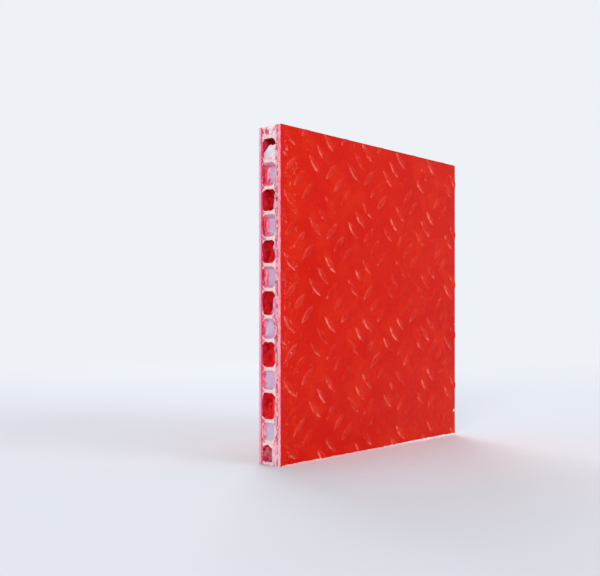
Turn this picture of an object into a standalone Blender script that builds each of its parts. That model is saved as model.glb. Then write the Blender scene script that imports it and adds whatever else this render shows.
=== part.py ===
# A sawn sample of fibreglass-faced honeycomb panel, standing on its lower edge.
# Six layers lie one behind the other along Y: the tread skin, its bond line, a veil,
# the hexagonal honeycomb core, the rear bond line and the plain rear skin.
# Metres, +Z up. The origin is on the floor, under the middle of the panel.

import math

import bmesh
import bpy
from mathutils import Matrix, Vector

# The whole panel
panel_width = 0.094
panel_height = 0.100

# The layers, from the tread face (-Y) to the rear face (+Y)
tread_skin_thickness = 0.0014
front_bond_thickness = 0.0003
veil_thickness = 0.0005
core_thickness = 0.0056
rear_bond_thickness = 0.0002
rear_skin_thickness = 0.00095
layer_gap = 0.00002

# The honeycomb: pointed cell corners up and down, flat walls to the left and right
cell_pitch = 0.00878
cell_wall = 0.0007
wall_root = 0.0008  # how far a wall's melted foot spreads on each side
lattice_turn = math.radians(1.15)  # the sample was sawn this far off the cell rows
first_cell_inset = 0.00105  # centre of the lowest left cell, from the left edge
first_cell_height = 0.0022  # and above the lower edge

# One shred of cell wall that the saw folded over instead of cutting off
shred_rows_down = 1  # rows below the topmost cell that the saw opened at the left edge
shred_height = 0.0041
shred_far_side = 0.0039
shred_low_side = 0.0022
shred_thickness = 0.0004
shred_lean = math.radians(8)
shred_step = 0.35  # share of the core's depth over which its torn edge climbs

# The smeared web that closes the topmost cell at the left edge, with one window left in it
web_thickness = 0.0004
web_inset = 0.0002
web_leg = 0.0006  # width of what is left behind the window
web_window = 0.0020
web_rim = 0.0005  # height left above the window

# The tread: groups of parallel bars, which fall and rise by turns
bar_length = 0.0075
bar_width = 0.0022
bar_height = 0.00025
bar_flank = 0.0004  # width of the slope round its flat top
bar_spacing = 0.0051
bars_per_group = 3
bar_segments = 3  # straight stretches along each curved side
tread_repeat = 0.0186
falling_group_inset = 0.0  # centre of the first falling group, from the left edge
falling_group_drop = 0.0064  # and below the upper edge
rising_group_shift = 0.0080  # from there to the rising group, along +X
rising_group_drop = 0.0082  # and down

# Working allowances
cut_allowance = 0.002  # how far a cutting tool reaches past what it cuts
plug_overshoot = 0.0005  # how far a cell's plug stands out of the core on both sides
spare_repeats = 2  # rows and columns beyond each edge, for the saw to cut off
bar_seat = 0.0002  # how far a bar reaches into its skin
shred_seat = 0.0002  # how far a shred reaches into the wall that it stands on

row_pitch = cell_pitch * math.sqrt(3) / 2

layers = (
    ("tread_skin", tread_skin_thickness),
    ("front_bond_line", front_bond_thickness),
    ("front_veil", veil_thickness),
    ("honeycomb_core", core_thickness),
    ("rear_bond_line", rear_bond_thickness),
    ("rear_skin", rear_skin_thickness),
)
panel_thickness = sum(thickness for name, thickness in layers) + (len(layers) - 1) * layer_gap
overall_depth = panel_thickness + bar_height
rear_plane = overall_depth / 2
tread_plane = rear_plane - panel_thickness
left_edge = -panel_width / 2


def layer_spans():
    """Each layer's lowest and highest Y, stacked from the tread face backwards."""
    spans = {}
    near = tread_plane
    for name, thickness in layers:
        spans[name] = (near, near + thickness)
        near += thickness + layer_gap
    return spans


spans = layer_spans()


# Scene and material helpers


def clear_scene():
    for old in list(bpy.data.objects):
        bpy.data.objects.remove(old, do_unlink=True)


def new_collection(name):
    made = bpy.data.collections.new(name)
    bpy.context.scene.collection.children.link(made)
    return made


def plastic(name, colour, roughness):
    made = bpy.data.materials.new(name)
    made.use_nodes = True
    shader = made.node_tree.nodes["Principled BSDF"]
    shader.inputs["Base Color"].default_value = (*colour, 1.0)
    shader.inputs["Roughness"].default_value = roughness
    shader.inputs["Metallic"].default_value = 0.0
    made.diffuse_color = (*colour, 1.0)
    return made


def file_under(item, collection):
    for old in list(item.users_collection):
        old.objects.unlink(item)
    collection.objects.link(item)
    return item


def as_tool(item):
    """A cutter or an added shape: used by a Boolean, and no piece of the panel."""
    item.hide_render = True
    item.display_type = "WIRE"
    return file_under(item, tools)


def slab(name, size, centre):
    """A flat rectangular block of that size around that centre."""
    bpy.ops.mesh.primitive_cube_add(size=1, location=centre)
    made = bpy.context.active_object
    made.name = name
    made.scale = size
    bpy.ops.object.transform_apply(location=False, rotation=False, scale=True)
    return made


def finish(item, material):
    """Files a piece under the panel, with its finish, and parents it to the stand point."""
    item.data.materials.clear()
    item.data.materials.append(material)
    file_under(item, panel)
    item.parent = stand_point
    return item


def add_boolean(item, operation, other):
    modifier = item.modifiers.new(f"{operation.title()} {other.name}", "BOOLEAN")
    modifier.operation = operation
    modifier.solver = "EXACT"
    modifier.object = other
    return modifier


def add_array(item, count, step):
    modifier = item.modifiers.new("Repeat", "ARRAY")
    modifier.count = count
    modifier.use_relative_offset = False
    modifier.use_constant_offset = True
    modifier.constant_offset_displace = step
    modifier.use_merge_vertices = False
    return modifier


def settled_mesh(item):
    """The piece's mesh with its modifiers carried out."""
    bpy.context.view_layer.update()
    graph = bpy.context.evaluated_depsgraph_get()
    return bpy.data.meshes.new_from_object(item.evaluated_get(graph))


# The flat layers


def flat_layer(name, material):
    near, far = spans[name]
    size = (panel_width, far - near, panel_height)
    centre = (0, (near + far) / 2, panel_height / 2)
    return finish(slab(name, size, centre), material)


def saw_outline():
    """The block that the saw cuts out of the stock: the panel's own width and height."""
    size = (panel_width, overall_depth + 2 * cut_allowance, panel_height)
    return as_tool(slab("saw_outline", size, (0, 0, panel_height / 2)))


# The honeycomb core


def cell_plugs():
    """Every cell's empty space as a six-sided plug that narrows towards both veils."""
    clear_width = cell_pitch - cell_wall
    half_depth = core_thickness / 2
    reach = half_depth + plug_overshoot
    root_start = half_depth - wall_root
    mid_radius = clear_width / math.sqrt(3)
    tip_radius = (clear_width - 2 * (wall_root + plug_overshoot)) / math.sqrt(3)
    profile = [
        (0, reach),
        (tip_radius, reach),
        (mid_radius, root_start),
        (mid_radius, -root_start),
        (tip_radius, -reach),
        (0, -reach),
    ]
    mesh = bpy.data.meshes.new("cell_plugs")
    points = [(0, y, radius) for radius, y in profile]
    mesh.from_pydata(points, [(n, n + 1) for n in range(len(points) - 1)], [])
    plug = bpy.data.objects.new("cell_plugs", mesh)
    tools.objects.link(plug)

    turned = plug.modifiers.new("Six sides", "SCREW")
    turned.axis = "Y"
    turned.steps = 6
    turned.render_steps = 6
    turned.use_merge_vertices = True
    turned.merge_threshold = 1e-6
    turned.use_normal_calculate = True

    columns = math.ceil(panel_width / cell_pitch + spare_repeats)
    row_pairs = math.ceil(panel_height / row_pitch / 2 + spare_repeats)
    add_array(plug, 2, (cell_pitch / 2, 0, row_pitch))
    add_array(plug, columns, (cell_pitch, 0, 0))
    add_array(plug, row_pairs, (0, 0, 2 * row_pitch))

    # The repeats start one column to the left of the first cell and two rows below it.
    first_cell = Vector((left_edge + first_cell_inset, 0, first_cell_height))
    turn = Matrix.Rotation(lattice_turn, 4, "Y")
    start = turn @ Vector((-cell_pitch, 0, -2 * row_pitch))
    plug.rotation_euler = (0, lattice_turn, 0)
    plug.location = first_cell + start + Vector((0, core_middle(), 0))
    return as_tool(plug)


def core_middle():
    near, far = spans["honeycomb_core"]
    return (near + far) / 2


def cut_mouth(row):
    """Height of the floor of the cell in that row where the saw opened it, at the left edge."""
    rise = row * row_pitch
    depth = first_cell_inset + rise * math.sin(lattice_turn)
    if row % 2:
        depth -= cell_pitch / 2
    middle = first_cell_height + rise * math.cos(lattice_turn)
    return middle - cell_pitch / math.sqrt(3) + abs(depth) / math.sqrt(3)


def topmost_row():
    """The highest row whose cell the saw opened at the left edge with room for the web."""
    row = 0
    while cut_mouth(row + 1) + web_rim < panel_height - web_rim:
        row += 1
    return row


def torn_plate(name, outline, thickness):
    """A thin plate across the core's depth. outline holds points as Y and Z from its foot."""
    shape = bmesh.new()
    corners = [shape.verts.new((0, y, z)) for y, z in outline]
    shape.faces.new(corners)
    thick = bmesh.ops.extrude_face_region(shape, geom=shape.faces[:])
    moved = [v for v in thick["geom"] if isinstance(v, bmesh.types.BMVert)]
    bmesh.ops.translate(shape, verts=moved, vec=(thickness, 0, 0))
    bmesh.ops.recalc_face_normals(shape, faces=shape.faces[:])
    mesh = bpy.data.meshes.new(name)
    shape.to_mesh(mesh)
    shape.free()
    plate = bpy.data.objects.new(name, mesh)
    tools.objects.link(plate)
    return plate


def wall_shred():
    """The folded shred: it stands on the lower wall of its cell and leans into it."""
    half_depth = core_thickness / 2 - wall_root / 2
    outline = [
        (-half_depth, 0),
        (half_depth, 0),
        (half_depth, shred_low_side),
        (half_depth - shred_step * core_thickness, shred_height),
        (-half_depth, shred_far_side),
    ]
    foot = cut_mouth(topmost_row() - shred_rows_down) - shred_seat
    shred = torn_plate("wall_shred", outline, shred_thickness)
    shred.location = (left_edge + shred_thickness / 2, core_middle(), foot)
    shred.rotation_euler = (0, shred_lean, 0)
    return as_tool(shred)


def top_web():
    """The smeared web in the topmost cell: it ends at the upper saw cut and has one window."""
    half_depth = core_thickness / 2 - wall_root / 2
    foot = cut_mouth(topmost_row()) - shred_seat
    top = panel_height + cut_allowance - foot
    window_top = panel_height - web_rim - foot
    window_rear = half_depth - web_leg
    window_front = window_rear - web_window
    outline = [
        (-half_depth, 0),
        (window_front, 0),
        (window_front, window_top),
        (window_rear, window_top),
        (window_rear, 0),
        (half_depth, 0),
        (half_depth, top),
        (-half_depth, top),
    ]
    web = torn_plate("top_web", outline, web_thickness)
    web.location = (left_edge + web_inset, core_middle(), foot)
    return as_tool(web)


def drop_loose_chips(mesh):
    """Takes off chips of wall that the saw left joined to nothing, as at a corner."""
    shape = bmesh.new()
    shape.from_mesh(mesh)
    waiting = set(shape.verts)
    islands = []
    while waiting:
        island = {waiting.pop()}
        edge_of_island = list(island)
        while edge_of_island:
            here = edge_of_island.pop()
            for link in here.link_edges:
                other = link.other_vert(here)
                if other not in island:
                    island.add(other)
                    edge_of_island.append(other)
        waiting -= island
        islands.append(island)
    islands.sort(key=len)
    chips = [vert for island in islands[:-1] for vert in island]
    bmesh.ops.delete(shape, geom=chips, context="VERTS")
    shape.to_mesh(mesh)
    shape.free()


def honeycomb_core(material, outline):
    stock = 2 * cut_allowance
    size = (panel_width + stock, core_thickness, panel_height + stock)
    core = slab("honeycomb_core", size, (0, core_middle(), panel_height / 2))
    add_boolean(core, "DIFFERENCE", cell_plugs())
    add_boolean(core, "UNION", wall_shred())
    add_boolean(core, "UNION", top_web())
    add_boolean(core, "INTERSECT", outline)
    sawn = settled_mesh(core)
    core.modifiers.clear()
    core.data = sawn
    drop_loose_chips(sawn)
    return finish(core, material)


# The tread skin


def lens_outline(inset):
    """Points round a bar, moved inwards by inset: two equal arcs that meet at its tips."""
    half_length = bar_length / 2
    half_width = bar_width / 2
    radius = (half_length**2 + half_width**2) / (2 * half_width)
    sagged = radius - half_width
    half_angle = math.acos(sagged / (radius - inset))
    upper = []
    for n in range(bar_segments):
        angle = half_angle * (1 - 2 * n / bar_segments)
        along = (radius - inset) * math.sin(angle)
        upper.append((along, (radius - inset) * math.cos(angle) - sagged))
    lower = [(-along, -across) for along, across in upper]
    return upper + lower


def tread_bars(name, lean, centre):
    """All bars of one direction. centre is the middle of the first group, as X and Z."""
    shape = bmesh.new()
    slope = bar_flank / bar_height
    top, seat = [
        [shape.verts.new((along, y, across)) for along, across in lens_outline(-slope * y)]
        for y in (-bar_height, bar_seat)
    ]
    shape.faces.new(top)
    shape.faces.new(seat)
    for n in range(len(top)):
        shape.faces.new((top[n - 1], top[n], seat[n], seat[n - 1]))
    bmesh.ops.recalc_face_normals(shape, faces=shape.faces[:])
    turn = Matrix.Rotation(lean, 4, "Y")
    bmesh.ops.transform(shape, verts=shape.verts[:], matrix=turn)
    mesh = bpy.data.meshes.new(name)
    shape.to_mesh(mesh)
    shape.free()
    bars = bpy.data.objects.new(name, mesh)
    tools.objects.link(bars)

    step = turn @ Vector((0, 0, bar_spacing))
    across = math.ceil(panel_width / tread_repeat + spare_repeats)
    down = math.ceil(panel_height / tread_repeat + spare_repeats)
    add_array(bars, bars_per_group, step)
    add_array(bars, across, (tread_repeat, 0, 0))
    add_array(bars, down, (0, 0, -tread_repeat))
    first_bar = Vector((centre[0], tread_plane, centre[1])) - step * (bars_per_group - 1) / 2
    bars.location = first_bar + Vector((-tread_repeat, 0, tread_repeat))
    return as_tool(bars)


def tread_skin(material, outline):
    """The skin with its bars. Its stock carries every bar whole, and the saw then cuts it."""
    near, far = spans["tread_skin"]
    stock = 2 * (spare_repeats + 1) * tread_repeat
    size = (panel_width + stock, far - near, panel_height + stock)
    skin = slab("tread_skin", size, (0, (near + far) / 2, panel_height / 2))
    falling = (left_edge + falling_group_inset, panel_height - falling_group_drop)
    rising = (falling[0] + rising_group_shift, falling[1] - rising_group_drop)
    add_boolean(skin, "UNION", tread_bars("falling_bars", math.radians(45), falling))
    add_boolean(skin, "UNION", tread_bars("rising_bars", math.radians(-45), rising))
    add_boolean(skin, "INTERSECT", outline)
    return finish(skin, material)


clear_scene()
panel = new_collection("honeycomb_panel")
tools = new_collection("shaping_tools")
stand_point = bpy.data.objects.new("stand_point", None)
panel.objects.link(stand_point)

red_laminate = plastic("red_laminate", (0.665, 0.022, 0.012), 0.35)
red_resin = plastic("red_resin", (0.42, 0.015, 0.02), 0.5)
white_veil = plastic("white_veil", (0.78, 0.62, 0.64), 0.85)
white_polypropylene = plastic("white_polypropylene", (0.80, 0.76, 0.80), 0.55)

saw_block = saw_outline()
tread_skin(red_laminate, saw_block)
flat_layer("front_bond_line", red_resin)
flat_layer("front_veil", white_veil)
honeycomb_core(white_polypropylene, saw_block)
flat_layer("rear_bond_line", red_resin)
flat_layer("rear_skin", red_laminate)
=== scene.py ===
import math

import bmesh
import bpy
from mathutils import Matrix, Vector, noise


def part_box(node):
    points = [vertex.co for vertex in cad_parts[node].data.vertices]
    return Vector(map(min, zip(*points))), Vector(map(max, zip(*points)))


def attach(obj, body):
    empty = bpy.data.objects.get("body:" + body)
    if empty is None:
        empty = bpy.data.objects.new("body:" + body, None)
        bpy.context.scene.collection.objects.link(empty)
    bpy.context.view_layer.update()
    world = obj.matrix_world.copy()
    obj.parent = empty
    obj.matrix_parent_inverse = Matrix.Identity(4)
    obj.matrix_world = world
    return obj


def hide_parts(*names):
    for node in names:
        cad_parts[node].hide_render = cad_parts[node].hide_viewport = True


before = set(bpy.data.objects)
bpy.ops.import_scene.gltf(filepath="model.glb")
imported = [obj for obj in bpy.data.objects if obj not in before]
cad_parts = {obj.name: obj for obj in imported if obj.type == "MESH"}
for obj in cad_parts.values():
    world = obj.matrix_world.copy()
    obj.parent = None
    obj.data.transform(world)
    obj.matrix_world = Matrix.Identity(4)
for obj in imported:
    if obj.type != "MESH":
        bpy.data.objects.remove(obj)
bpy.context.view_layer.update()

mm = 0.001

# The panel as the frame gives it: X across, Y from the tread face to the rear, Z up.
coreLow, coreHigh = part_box("honeycomb_core")
treadLow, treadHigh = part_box("tread_skin")
panelWidth = coreHigh.x - coreLow.x
panelHeight = coreHigh.z - coreLow.z
coreDepth = coreHigh.y - coreLow.y
coreMiddle = (coreHigh.y + coreLow.y) / 2
leftEdge = coreLow.x


def link(name, data):
    made = bpy.data.objects.new(name, data)
    bpy.context.scene.collection.objects.link(made)
    return made


# A closed mesh whose faces all point outwards.
def closedMesh(name, verts, faces):
    mesh = bpy.data.meshes.new(name)
    mesh.from_pydata(verts, [], faces)
    mesh.validate()
    shape = bmesh.new()
    shape.from_mesh(mesh)
    bmesh.ops.recalc_face_normals(shape, faces=shape.faces[:])
    shape.to_mesh(mesh)
    shape.free()
    return mesh


# Carries out the object's modifiers, so that its mesh is plain data.
def settle(item):
    bpy.context.view_layer.update()
    graph = bpy.context.evaluated_depsgraph_get()
    made = bpy.data.meshes.new_from_object(item.evaluated_get(graph))
    item.modifiers.clear()
    item.data = made
    return item


def shadeSmooth(item, sharpAngle):
    item.data.shade_smooth()
    item.data.set_sharp_from_angle(angle=math.radians(sharpAngle))


# Sets a node's inputs to values, or links sockets to them.
def fill(tree, node, values):
    for key, value in values.items():
        if isinstance(value, bpy.types.NodeSocket):
            tree.links.new(value, node.inputs[key])
        else:
            node.inputs[key].default_value = value
    return node


def addNode(tree, kind, values=None, **settings):
    node = tree.nodes.new(kind)
    for name, value in settings.items():
        setattr(node, name, value)
    return fill(tree, node, values or {})


# A node that runs another tree of the same kind.
def addGroup(tree, made, values):
    node = tree.nodes.new(tree.bl_idname.replace("Tree", "Group"))
    node.node_tree = made
    return fill(tree, node, values)


def calc(tree, operation, *values):
    return addNode(tree, "ShaderNodeMath", dict(enumerate(values)), operation=operation).outputs[0]


def times(tree, first, *others):
    for factor in others:
        first = calc(tree, "MULTIPLY", first, factor)
    return first


def minus(tree, first, second):
    return calc(tree, "SUBTRACT", first, second)


def vectorCalc(tree, operation, *values):
    return addNode(tree, "ShaderNodeVectorMath", dict(enumerate(values)), operation=operation).outputs[0]


def scaled(tree, vector, factor):
    return addNode(tree, "ShaderNodeVectorMath", {0: vector, "Scale": factor}, operation="SCALE").outputs[0]


def partsOf(tree, vector):
    return addNode(tree, "ShaderNodeSeparateXYZ", {0: vector}).outputs


def vectorOf(tree, **parts):
    return addNode(tree, "ShaderNodeCombineXYZ", parts).outputs[0]


# 0 below low and 1 above high, or the other way round, with a soft step.
def between(tree, value, low, high):
    values = {"Value": value, "From Min": low, "From Max": high}
    return addNode(tree, "ShaderNodeMapRange", values, interpolation_type="SMOOTHSTEP").outputs[0]


# A tree with its sockets, each with a label and a kind.
def newTree(name, kind, inputs, outputs):
    tree = bpy.data.node_groups.new(name, kind)
    for side, sockets in (("OUTPUT", outputs), ("INPUT", inputs)):
        for label, socketKind in sockets.items():
            tree.interface.new_socket(label, in_out=side, socket_type="NodeSocket" + socketKind)
    return tree, tree.nodes.new("NodeGroupInput").outputs, tree.nodes.new("NodeGroupOutput").inputs


def shapeOf(tree, thing):
    return addNode(tree, "GeometryNodeObjectInfo", {"Object": thing}).outputs["Geometry"]


def blockAt(tree, size, centre):
    block = addNode(tree, "GeometryNodeMeshCube", {"Size": size}).outputs[0]
    return addNode(tree, "GeometryNodeTransform", {"Geometry": block, "Translation": centre}).outputs[0]


def realized(tree, geometry):
    return addNode(tree, "GeometryNodeRealizeInstances", {0: geometry}).outputs[0]


# An exact cut or join. A difference is cut out of stock.
def boolean(tree, operation, bodies, stock=None):
    node = addNode(tree, "GeometryNodeMeshBoolean", operation=operation, solver="EXACT")
    if stock:
        tree.links.new(stock, node.inputs[0])
    for body in bodies:
        tree.links.new(body, node.inputs[1])
    return node.outputs[0]


# Noise in patches about as wide as size.
def noiseOf(tree, size):
    position = addNode(tree, "GeometryNodeInputPosition").outputs[0]
    scale = calc(tree, "DIVIDE", 1.0, size)
    return addNode(tree, "ShaderNodeTexNoise", {"Vector": position, "Scale": scale, "Detail": 2.0}).outputs


# An offset that drifts with the place, up to half of amount each way, along the given axes.
def wander(tree, size, amount, axes):
    centred = vectorCalc(tree, "SUBTRACT", noiseOf(tree, size)["Color"], (0.5, 0.5, 0.5))
    return vectorCalc(tree, "MULTIPLY", scaled(tree, centred, amount), axes)


# How far a point lies from a centre along each axis.
def awayFrom(tree, position, centre):
    return partsOf(tree, vectorCalc(tree, "ABSOLUTE", vectorCalc(tree, "SUBTRACT", position, centre)))


# How deep that is behind the nearest of a block's four sawn sides.
def sawGap(tree, half, away):
    return calc(tree, "MINIMUM", *[minus(tree, half[axis], away[axis]) for axis in ("X", "Z")])


# An object made by a Geometry Nodes tree alone. The tree has one input for each value, and
# addNodes fills it up to the geometry that gets the finish.
def grow(name, treeName, addNodes, values):
    kinds = {label: type(value).__name__.capitalize() for label, value in values.items()}
    tree, given, out = newTree(treeName, "GeometryNodeTree", kinds, {"Geometry": "Geometry"})
    last = {"Geometry": realized(tree, addNodes(tree, given)), "Material": given["Finish"]}
    tree.links.new(addNode(tree, "GeometryNodeSetMaterial", last).outputs[0], out["Geometry"])
    host = link(name, bpy.data.meshes.new(name))
    modifier = host.modifiers.new("Grow", "NODES")
    modifier.node_group = tree
    for socket in tree.interface.items_tree:
        if socket.in_out == "INPUT":
            modifier[socket.identifier] = values[socket.name]
    return settle(host)


# Camera, placed by the corners of the panel in the photograph
cameraPlace = {
    "photoWidth": 600,
    "photoCentreY": 288,
    "horizonY": 317.2,  # pixel row of the camera's own height
    "focalPixels": 856.7,
    "heading": math.radians(42.23),  # from +X towards +Y
    "fromNearEdge": Vector((-0.18095, -0.1717, 0.04362)),
}


def addCamera():
    place = cameraPlace
    data = bpy.data.cameras.new("photoCamera")
    data.sensor_width = 36
    data.lens = data.sensor_width * place["focalPixels"] / place["photoWidth"]
    data.shift_y = (place["horizonY"] - place["photoCentreY"]) / place["photoWidth"]
    data.clip_start = 0.01
    data.clip_end = 20
    camera = link("photoCamera", data)
    nearEdge = Vector((leftEdge, treadPlane, 0))
    camera.location = nearEdge + place["fromNearEdge"]
    ahead = Vector((math.cos(place["heading"]), math.sin(place["heading"]), 0))
    camera.rotation_euler = ahead.to_track_quat("-Z", "Y").to_euler()
    bpy.context.scene.camera = camera


# Points in three nested repeats, such as bars in groups in rows.
def makeRepeatTree():
    levels = ("First", "Second", "Third")
    inputs = {level + " Count": "Int" for level in levels}
    inputs.update({level + " Step": "Vector" for level in levels}, Start="Vector")
    tree, given, out = newTree("tripleRepeat", "GeometryNodeTree", inputs, {"Points": "Geometry"})
    nudge = 0.5  # keeps the divisions below clear of rounding
    index = addNode(tree, "GeometryNodeInputIndex").outputs[0]
    nudged = calc(tree, "ADD", index, nudge)
    firstTurn = calc(tree, "FLOOR", calc(tree, "DIVIDE", nudged, given["First Count"]))
    nudgedTurn = calc(tree, "ADD", firstTurn, nudge)
    repeats = (
        calc(tree, "MODULO", index, given["First Count"]),
        calc(tree, "MODULO", firstTurn, given["Second Count"]),
        calc(tree, "FLOOR", calc(tree, "DIVIDE", nudgedTurn, given["Second Count"])),
    )
    place = given["Start"]
    for level, done in zip(levels, repeats):
        place = vectorCalc(tree, "ADD", place, scaled(tree, given[level + " Step"], done))
    count = times(tree, *[given[level + " Count"] for level in levels])
    points = addNode(tree, "GeometryNodePoints", {"Count": count, "Position": place})
    tree.links.new(points.outputs[0], out["Points"])
    return tree


repeatTree = makeRepeatTree()


# The tread skin: a slab with raised bars, sawn off square on all four sides
treadBars = {
    "length": 7.5 * mm,
    "width": 2.2 * mm,
    "height": 0.25 * mm,
    "spacing": 5.1 * mm,
    "perGroup": 3,
    "repeat": 18.6 * mm,
    "fallingFromLeft": 0.0 * mm,
    "fallingFromTop": 6.4 * mm,
    "risingAcross": 8.0 * mm,
    "risingDown": 8.2 * mm,
    "lean": math.radians(45),
    "stepsPerSide": 12,
    "sharpAngle": 28,  # degrees
    # the stock reaches past the panel's sides, and the saw past its face and back
    "stockBeyond": (4 * mm, 0, 4 * mm),
    "cutBeyond": (0, 8 * mm, 0),
    # how a bar's section rises from its foot to its crown: inset from its outline, share of its height
    "rise": (
        (-0.16 * mm, -0.30),
        (-0.05 * mm, 0.06),
        (0.06 * mm, 0.18),
        (0.22 * mm, 0.52),
        (0.42 * mm, 0.80),
        (0.65 * mm, 0.94),
        (0.85 * mm, 0.985),
    ),
}
treadPlane = treadLow.y + treadBars["height"]


# Points round a bar's outline, moved inwards by inset: two equal arcs that meet at the tips.
def lensRing(inset):
    halfLength = treadBars["length"] / 2
    halfWidth = treadBars["width"] / 2
    radius = (halfLength**2 + halfWidth**2) / (2 * halfWidth)
    reach = radius - inset
    halfAngle = math.acos((radius - halfWidth) / reach)
    steps = treadBars["stepsPerSide"]
    upper = []
    for n in range(steps):
        angle = halfAngle * (1 - 2 * n / steps)
        upper.append((reach * math.sin(angle), reach * math.cos(angle) - radius + halfWidth))
    return upper + [(-along, -across) for along, across in upper]


# One bar along X, rising towards -Y, closed at its back.
def barMesh():
    verts, faces = [], []
    for inset, share in treadBars["rise"]:
        rise = share * treadBars["height"]
        verts += [(along, -rise, across) for along, across in lensRing(inset)]
    ring = 2 * treadBars["stepsPerSide"]
    levels = len(treadBars["rise"])
    for level in range(levels - 1):
        for n in range(ring):
            near, far = level * ring + n, level * ring + (n + 1) % ring
            faces.append((near, near + ring, far + ring, far))
    verts.append((0, -treadBars["height"], 0))
    verts.append((0, -treadBars["rise"][0][1] * treadBars["height"], 0))
    top = (levels - 1) * ring
    for n in range(ring):
        faces.append((top + n, len(verts) - 2, top + (n + 1) % ring))
        faces.append(((n + 1) % ring, len(verts) - 1, n))
    return closedMesh("treadBar", verts, faces)


# Both families of bars on a slab, which the saw cuts out of wider stock together with the bars.
def addTreadNodes(tree, given):
    bar = shapeOf(tree, given["Bar"])
    across = vectorOf(tree, X=given["Repeat"])
    down = vectorOf(tree, Z=times(tree, given["Repeat"], -1))
    allBars = addNode(tree, "GeometryNodeJoinGeometry")
    for family, side in (("Falling", 1), ("Rising", -1)):
        values = {
            "First Count": given["Bars Per Group"],
            "Second Count": given["Groups Across"],
            "Third Count": given["Groups Down"],
            "First Step": given[family + " Step"],
            "Second Step": across,
            "Third Step": down,
            "Start": given[family + " Start"],
        }
        points = addGroup(tree, repeatTree, values).outputs[0]
        spin = vectorOf(tree, Y=times(tree, given["Lean"], side))
        values = {"Points": points, "Instance": bar, "Rotation": spin}
        placed = addNode(tree, "GeometryNodeInstanceOnPoints", values)
        tree.links.new(placed.outputs[0], allBars.inputs[0])
    realBars = realized(tree, allBars.outputs[0])
    wider = vectorCalc(tree, "ADD", given["Slab Size"], treadBars["stockBeyond"])
    sawn = vectorCalc(tree, "ADD", given["Slab Size"], treadBars["cutBeyond"])
    stock, kept = [blockAt(tree, size, given["Slab Centre"]) for size in (wider, sawn)]
    joined = boolean(tree, "UNION", (stock, realBars))
    return boolean(tree, "INTERSECT", (joined, kept))


def addTreadSkin(faceFinish, sawnFinish):
    bar = link("treadBar", barMesh())
    diagonal = treadBars["spacing"] / math.sqrt(2)
    middleBar = (treadBars["perGroup"] - 1) / 2
    fallingStep = Vector((diagonal, 0, diagonal))
    risingStep = Vector((-diagonal, 0, diagonal))
    topGroup = panelHeight - treadBars["fallingFromTop"]
    fallingMiddle = Vector((leftEdge + treadBars["fallingFromLeft"], treadPlane, topGroup))
    risingMiddle = fallingMiddle + Vector((treadBars["risingAcross"], 0, -treadBars["risingDown"]))
    early = Vector((-treadBars["repeat"], 0, treadBars["repeat"]))  # one group outside the corner
    spare = 2  # groups more than the panel holds
    values = {
        "Bar": bar,
        "Bars Per Group": treadBars["perGroup"],
        "Groups Across": math.ceil(panelWidth / treadBars["repeat"]) + spare,
        "Groups Down": math.ceil(panelHeight / treadBars["repeat"]) + spare,
        "Repeat": treadBars["repeat"],
        "Falling Start": fallingMiddle + early - fallingStep * middleBar,
        "Falling Step": fallingStep,
        "Rising Start": risingMiddle + early - risingStep * middleBar,
        "Rising Step": risingStep,
        "Lean": treadBars["lean"],
        "Slab Size": Vector((panelWidth, treadHigh.y - treadPlane, panelHeight)),
        "Slab Centre": Vector((0, (treadHigh.y + treadPlane) / 2, panelHeight / 2)),
        "Finish": faceFinish,
    }
    skin = grow("treadSkin", "treadSkinTree", addTreadNodes, values)
    bpy.data.objects.remove(bar)
    paintSawnSides(skin, sawnFinish)
    shadeSmooth(skin, treadBars["sharpAngle"])
    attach(skin, "root")
    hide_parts("tread_skin")
    return skin


# Gives the second finish to the faces that the saw made: those that look sideways, up or down.
def paintSawnSides(item, sawnFinish):
    item.data.materials.append(sawnFinish)
    edge = 0.05 * mm
    squarely = 0.9
    for face in item.data.polygons:
        sideways = max(abs(face.normal.x), abs(face.normal.z)) > squarely
        centre = face.center
        atSide = abs(centre.x) > panelWidth / 2 - edge
        atEnd = centre.z < edge or centre.z > panelHeight - edge
        face.material_index = int(sideways and (atSide or atEnd))


# The honeycomb core: rounded cells, cut open where the saw met them
cells = {
    "pitch": 8.78 * mm,
    "wall": 0.70 * mm,
    "turn": math.radians(1.15),
    "firstFromLeft": 1.05 * mm,
    "firstFromFloor": 2.2 * mm,
    "cornerRadius": 1.5 * mm,
    "leastRadius": 0.3 * mm,  # of a corner down in a fillet
    "roundest": 0.9,  # the largest share of the half width that a corner may take up
    "frontFillet": 1.8 * mm,
    "rearFillet": 1.2 * mm,
    "filletSteps": 5,
    "cornerSteps": 5,
    "wallSteps": 4,  # on a side and on the straight part of a wall
    "steepest": math.radians(78),  # where a fillet ends
    "spareColumns": 3,
    "spareRows": 4,
    "sharpAngle": 40,  # degrees
    "cutThrough": 0.15 * mm,  # how far the plugs pass the core on both sides
    "recess": 0.2 * mm,  # how far the soft core lies behind the skins' sawn edges
    "waviness": 0.34 * mm,
    "waveSize": 2.4 * mm,
    "rimReach": 11 * mm,  # cells within this distance of a sawn side get the fine shape
}
rowPitch = cells["pitch"] * math.sqrt(3) / 2


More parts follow.
